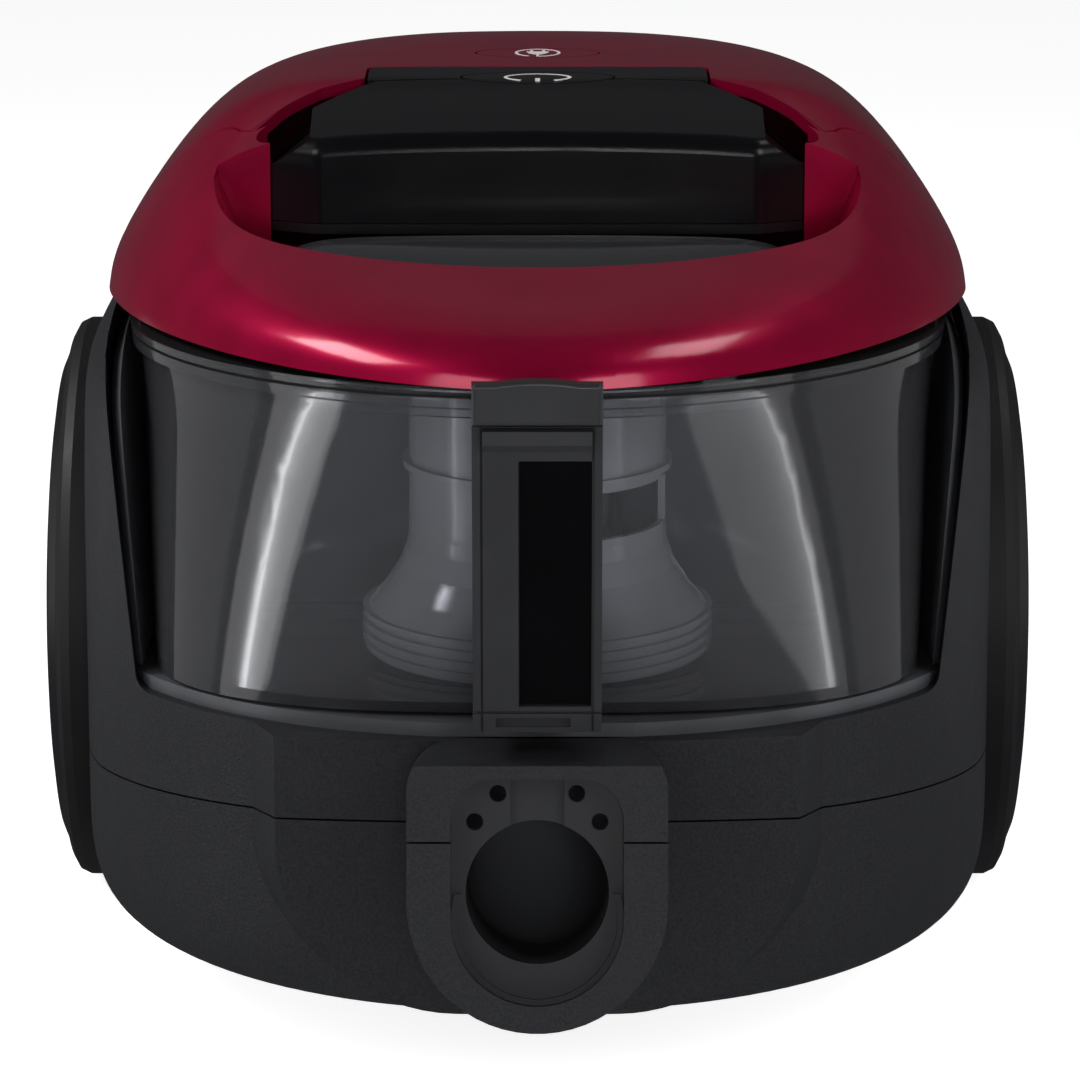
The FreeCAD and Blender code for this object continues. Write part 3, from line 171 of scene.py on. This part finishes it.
def metal(name, color, rough):
    """Bare metal with a fine uneven sheen."""
    material, tree, out, coords = shader_tree(name)
    shader = tree.nodes.new("ShaderNodeBsdfPrincipled")
    shader.inputs["Metallic"].default_value = 1.0
    fine = noise(tree, coords, METAL_GRAIN, GRAIN_DETAIL)
    low, high = shades(color, 0.1)
    tint = ramp(tree, fine.outputs["Fac"], low, high)
    tree.links.new(tint.outputs["Color"], shader.inputs["Base Color"])
    sheen = spread(tree, fine.outputs["Fac"], rough * 0.8, rough * 1.2)
    tree.links.new(sheen.outputs["Result"], shader.inputs["Roughness"])
    tree.links.new(shader.outputs["BSDF"], out.inputs["Surface"])
    return material


def paint_light_inside(material, front, inside, front_y, inside_y):
    """Paints light into the base colour: lighter from the front of a piece towards its inside, along
    +Y, as a painted glint deep in a bore.
    """
    tree = material.node_tree
    shader = next(node for node in tree.nodes if node.type == "BSDF_PRINCIPLED")
    coords = next(node for node in tree.nodes if node.type == "TEX_COORD")
    apart = tree.nodes.new("ShaderNodeSeparateXYZ")
    tree.links.new(coords.outputs["Object"], apart.inputs["Vector"])
    depth = spread(tree, apart.outputs["Y"], 0.0, 1.0, front_y, inside_y)
    blend = ramp(tree, depth.outputs["Result"], front, inside, 0.0, 1.0)
    tree.links.new(blend.outputs["Color"], shader.inputs["Base Color"])


# ---- finishes -----------------------------------------------------------------------------------
CRIMSON, CRIMSON_EDGE = (0.26, 0.0022, 0.03), (0.9, 0.2, 0.35)
INLET_DARK = (0.018, 0.0185, 0.021)
# painted light: the paler colour deep inside the inlet duct is a painted glint in the bore
DUCT_PAINTED_GLINT, DUCT_FRONT_Y, DUCT_INSIDE_Y = (0.17, 0.175, 0.19), -0.16, -0.125
LACQUER = dict(by=0.04, coat=1.0, coat_rough=0.15, coat_ior=1.3, metallic=0.5, specular=0.0,
               edge=CRIMSON_EDGE)
PEBBLED = dict(grain=1500.0, depth=0.0003, specular=0.2, speckle=0.22)
FOAM = dict(by=0.3, patch=900.0, grain=900.0, depth=0.0006)

# name: colour, roughness, other looks
PLASTICS = {
    "housing_plastic": ((0.0155, 0.016, 0.0186), 0.45, PEBBLED),
    "cover_gloss": (CRIMSON, 0.38, LACQUER),
    "grip_gloss": ((0.003, 0.003, 0.004), 0.25, dict(specular=0.2)),
    "trim_black": ((0.0045, 0.0047, 0.0055), 0.42, dict(grain=1600.0, depth=0.00006, specular=0.2)),
    "rubber_black": ((0.012, 0.012, 0.012), 0.7, dict(grain=900.0)),
    "tyre_rubber": ((0.006, 0.006, 0.007), 0.55, dict(grain=900.0, specular=0.3)),
    "wheel_plastic": ((0.004, 0.0042, 0.0052), 0.35, dict(specular=0.2)),
    "sponge": ((0.06, 0.1, 0.16), 0.9, FOAM),
    "filter_paper": ((0.75, 0.75, 0.72), 0.8, {}),
    "board": ((0.03, 0.12, 0.06), 0.5, {}),
    "interior_grey": ((0.16, 0.16, 0.17), 0.5, {}),
    "print_white": ((0.8, 0.78, 0.79), 0.5, {}),
    "panel_gloss": ((0.0012, 0.0012, 0.0016), 0.2, dict(specular=0.3)),
    "face_grey": ((0.023, 0.0235, 0.026), 0.32, dict(by=0.05, specular=0.35)),
    # painted light: a much lighter copy of the black trim for the shaded bay around the bin
    "bay_grey_painted_light": ((0.075, 0.077, 0.085), 0.4, dict(specular=0.3)),
    "inlet_grey": (INLET_DARK, 0.42, dict(specular=0.18)),
    # the duct's own dark plastic; its inside later gets painted light, a painted glint in the bore
    "duct_grey_painted_glint": (INLET_DARK, 0.42, dict(specular=0.18)),
}
# name: tint of what shows through, colour of the haze, its share, roughness of the face
CLEARS = {
    "clear_smoke": ((0.88, 0.885, 0.9), (0.24, 0.245, 0.265), 0.1, 0.07),
    "cyclone_plastic": ((0.8, 0.8, 0.82), (0.6, 0.61, 0.64), 0.42, 0.1),
}
# name: colour, roughness
METALS = {
    "mesh_steel": ((0.4, 0.4, 0.41), 0.35),
    "steel": ((0.55, 0.55, 0.56), 0.3),
    "screw_steel": ((0.003, 0.003, 0.0035), 0.4),
    "winding": ((0.3, 0.15, 0.07), 0.45),
    "fan_alloy": ((0.7, 0.7, 0.72), 0.3),
}
# nodes whose finish differs from the rest of their slot; the cradle's and the duct's also carry
# painted light
OWN_FINISH = {
    # the cradle's lighter grey is painted light in the shaded bay, not its own colour
    "bin_cradle": "bay_grey_painted_light",
    "bin_handle": "face_grey",
    "push_button": "face_grey",
    "inlet_faceplate": "inlet_grey",
    "inlet_tube": "inlet_grey",
    "inlet_duct": "duct_grey_painted_glint",
}

MATERIALS = {}
for name, (color, rough, looks) in PLASTICS.items():
    MATERIALS[name] = plastic(name, color, rough, **looks)
for name, looks in CLEARS.items():
    MATERIALS[name] = clear_plastic(name, *looks)
for name, looks in METALS.items():
    MATERIALS[name] = metal(name, *looks)
# painted light: the duct turns paler towards its inside, a painted glint in the dark bore
paint_light_inside(MATERIALS["duct_grey_painted_glint"], INLET_DARK, DUCT_PAINTED_GLINT, DUCT_FRONT_Y, DUCT_INSIDE_Y)

for entry in frame["record"]["subparts"]:
    node = NODES[entry["node"]]
    node.data.materials.clear()
    node.data.materials.append(MATERIALS[OWN_FINISH.get(entry["node"], entry["material_slot"])])


# ---- printed signs, the panel in the strip and the buttons' springs -----------------------------
SIGN_BURIED, SIGN_PROUD = 0.0002, 0.00006
POWER_SIGN_Y = -0.0007
# half width, half depth and line of a sign's ring, then where its band starts and stops in degrees
POWER_RING = (0.0092, 0.0066, 0.0010, -58, 238)
PLUG_RING = (0.0064, 0.0074, 0.0008, -90, 245)
# points of the signs, in millimetres from the middle of the button
POWER_BAR = [(-0.65, -6.4), (0.65, -6.4), (0.65, -2.0), (-0.65, -2.0)]
PLUG_CUP = [(-0.9, -3.2), (0.9, -3.2), (2.3, -1.6), (3.1, 1.2), (3.1, 2.2), (-3.1, 2.2),
            (-3.1, 1.2), (-2.3, -1.6)]
PLUG_LEAD = [(-0.4, -7.2), (0.4, -7.2), (0.4, -3.2), (-0.4, -3.2)]
PRONG_X, PRONG_HALF, PRONG_LOW, PRONG_HIGH = 1.7, 0.45, 2.2, 4.6
# the recess of the strip: its sides, then z and y of its lower and upper edge
STRIP_PANEL_X = (-0.0042, 0.0130)
STRIP_PANEL_LOW, STRIP_PANEL_HIGH = (0.1072, -0.1751), (0.1688, -0.1823)
STRIP_PANEL_THICK = 0.0005


def solid_from_loops(name, loops, push, material):
    """Closed plate for each outline, from the outline to the outline moved by push."""
    mesh = bpy.data.meshes.new(name)
    bm = bmesh.new()
    for loop in loops:
        near = [bm.verts.new(point) for point in loop]
        far = [bm.verts.new(Vector(point) + push) for point in loop]
        bm.faces.new(near[::-1])
        bm.faces.new(far)
        for i in range(len(loop)):
            j = (i + 1) % len(loop)
            bm.faces.new((near[i], near[j], far[j], far[i]))
    bmesh.ops.recalc_face_normals(bm, faces=bm.faces)
    bm.to_mesh(mesh)
    bm.free()
    thing = bpy.data.objects.new(name, mesh)
    bpy.context.scene.collection.objects.link(thing)
    mesh.materials.append(material)
    return thing


def arc_loops(x, y, z, half_wide, half_deep, width, start, stop, steps=44):
    """Short stretches of a band along an ellipse, from start to stop in degrees."""
    loops = []
    for i in range(steps):
        ends = [math.radians(start + (stop - start) * k / steps) for k in (i, i + 1)]
        corners = ((ends[0], 0), (ends[1], 0), (ends[1], width), (ends[0], width))
        loops.append([(x + (half_wide - inset) * math.cos(a), y + (half_deep - inset) * math.sin(a), z)
                      for a, inset in corners])
    return loops


def outline(x, y, z, points):
    """Outline from points in millimetres about a centre in metres."""
    return [(x + px / 1000, y + py / 1000, z) for px, py in points]


def sign(name, button, body, deeper, loops_at):
    """White print on the flat top of a button."""
    low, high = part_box(button)
    x, y, z = (low[0] + high[0]) / 2, (low[1] + high[1]) / 2 + deeper, high[2] - SIGN_BURIED
    push = Vector((0, 0, SIGN_BURIED + SIGN_PROUD))
    thing = solid_from_loops(name, loops_at(x, y, z), push, MATERIALS["print_white"])
    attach(thing, body)


def power_loops(x, y, z):
    """Broken ring with a bar in the gap."""
    return arc_loops(x, y, z, *POWER_RING) + [outline(x, y, z, POWER_BAR)]


def plug_loops(x, y, z):
    """Plug with two prongs, on a lead that curls around it."""
    prongs = [[(side - PRONG_HALF, PRONG_LOW), (side + PRONG_HALF, PRONG_LOW),
               (side + PRONG_HALF, PRONG_HIGH), (side - PRONG_HALF, PRONG_HIGH)]
              for side in (-PRONG_X, PRONG_X)]
    shapes = (PLUG_CUP, *prongs, PLUG_LEAD)
    return arc_loops(x, y, z, *PLUG_RING) + [outline(x, y, z, points) for points in shapes]


def strip_panel():
    """Glossy dark inlay in the long recess of the bin's front strip."""
    (z0, y0), (z1, y1) = STRIP_PANEL_LOW, STRIP_PANEL_HIGH
    x0, x1 = STRIP_PANEL_X
    loop = [(x0, y0, z0), (x1, y0, z0), (x1, y1, z1), (x0, y1, z1)]
    push = Vector((0, -STRIP_PANEL_THICK, 0))
    thing = solid_from_loops("strip_panel", [loop], push, MATERIALS["panel_gloss"])
    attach(thing, "dust_bin")


def live_spring(node):
    """Copy of a button's spring with a mesh of its own, fixed to the chassis in place of the hidden
    original.
    """
    original = NODES[node]
    piece = bpy.data.objects.new(node + "_live", original.data.copy())
    bpy.context.scene.collection.objects.link(piece)
    piece.matrix_world = original.matrix_world.copy()
    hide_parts(node)
    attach(piece, "chassis")
    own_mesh(piece)


live_spring("power_spring")
live_spring("rewind_spring")
sign("power_sign", "power_button", "power_key", POWER_SIGN_Y, power_loops)
sign("rewind_sign", "rewind_button", "rewind_key", 0.0, plug_loops)
strip_panel()


# ---- studio -------------------------------------------------------------------------------------
FLOOR_HALF, FLOOR_DROP = 6.0, 0.0005
FLOOR_ROUGH, FLOOR_SPECULAR, FLOOR_PATCH = 0.7, 0.2, 2.0
FLOOR_LOW, FLOOR_HIGH = (0.8, 0.8, 0.8), (0.82, 0.82, 0.82)
FLOOR_GLOW = 0.86
WORLD_COLOR, WORLD_GLOW = (0.95, 0.97, 1, 1), 0.05
# name, place, what it points at, power in watts, width, height
LAMPS = [
    ("key_left", (-0.93, 0.06, 0.9), (0, -0.1, 0.2), 8.0, 0.55, 0.3),
    ("key_right", (0.66, 0.2, 1.08), (0, -0.1, 0.2), 2.5, 0.4, 0.3),
    ("top_soft", (0.0, 0.9, 1.0), (0, -0.1, 0.2), 0.2, 1.6, 0.5),
    ("panel_left", (-0.42, -0.195, 0.07), (0, -0.1, 0.1), 0.12, 0.16, 0.14),
    ("panel_right", (0.40, -0.27, 0.07), (0, -0.15, 0.1), 0.09, 0.26, 0.14),
    ("side_left", (-0.42, 0.12, 0.07), (0, 0.0, 0.1), 0.06, 0.4, 0.14),
    ("side_right", (0.42, 0.1, 0.07), (0, 0.0, 0.1), 0.05, 0.4, 0.14),
    ("front_left", (-0.8, -0.9, 0.7), (0, -0.05, 0.15), 4.0, 0.5, 0.5),
    ("front_right", (0.8, -0.9, 0.7), (0, -0.05, 0.15), 5.0, 0.5, 0.5),
    ("front_fill", (0.05, -1.1, 0.3), (0, -0.1, 0.03), 1.0, 0.14, 0.1),
]
AIM = Vector((0.00065, 0.0, 0.1058))
DISTANCE, ELEVATION = 1.4, math.radians(13.5)
LENS_MM, SENSOR_MM = 170.1, 36.0


def floor():
    """Pale glowing floor that the object's glossy faces don't mirror."""
    mesh = bpy.data.meshes.new("floor")
    bm = bmesh.new()
    bmesh.ops.create_grid(bm, x_segments=1, y_segments=1, size=FLOOR_HALF)
    bm.to_mesh(mesh)
    bm.free()
    plane = bpy.data.objects.new("floor", mesh)
    bpy.context.scene.collection.objects.link(plane)
    material, tree, out, coords = shader_tree("studio_floor")
    shader = tree.nodes.new("ShaderNodeBsdfPrincipled")
    shader.inputs["Roughness"].default_value = FLOOR_ROUGH
    shader.inputs["Specular IOR Level"].default_value = FLOOR_SPECULAR
    shader.inputs["Emission Color"].default_value = (*WHITE, 1.0)
    shader.inputs["Emission Strength"].default_value = FLOOR_GLOW
    soft = noise(tree, coords, FLOOR_PATCH)
    tint = ramp(tree, soft.outputs["Fac"], FLOOR_LOW, FLOOR_HIGH)
    tree.links.new(tint.outputs["Color"], shader.inputs["Base Color"])
    tree.links.new(shader.outputs["BSDF"], out.inputs["Surface"])
    mesh.materials.append(material)
    plane.location.z = -FLOOR_DROP
    plane.visible_glossy = False


def lamp(name, place, aim, power, wide, high):
    """Rectangular soft lamp that lights the object but isn't seen itself."""
    data = bpy.data.lights.new(name, "AREA")
    data.energy = power
    data.shape = "RECTANGLE"
    data.size = wide
    data.size_y = high
    thing = bpy.data.objects.new(name, data)
    thing.location = place
    thing.rotation_euler = (Vector(aim) - Vector(place)).to_track_quat("-Z", "Y").to_euler()
    thing.visible_camera = False
    bpy.context.scene.collection.objects.link(thing)


def studio():
    """Dim even surroundings and the lamps."""
    world = bpy.data.worlds.new("studio")
    world.use_nodes = True
    background = world.node_tree.nodes["Background"]
    background.inputs["Color"].default_value = WORLD_COLOR
    background.inputs["Strength"].default_value = WORLD_GLOW
    bpy.context.scene.world = world
    for settings in LAMPS:
        lamp(*settings)


def camera():
    """Long lens in front of the object, looking slightly down."""
    data = bpy.data.cameras.new("camera")
    data.lens = LENS_MM
    data.sensor_width = SENSOR_MM
    thing = bpy.data.objects.new("camera", data)
    away = Vector((0, -math.cos(ELEVATION), math.sin(ELEVATION)))
    thing.location = AIM + away * DISTANCE
    thing.rotation_euler = (-away).to_track_quat("-Z", "Y").to_euler()
    bpy.context.scene.collection.objects.link(thing)
    bpy.context.scene.camera = thing


floor()
studio()
camera()
bpy.context.scene.view_settings.view_transform = "Standard"
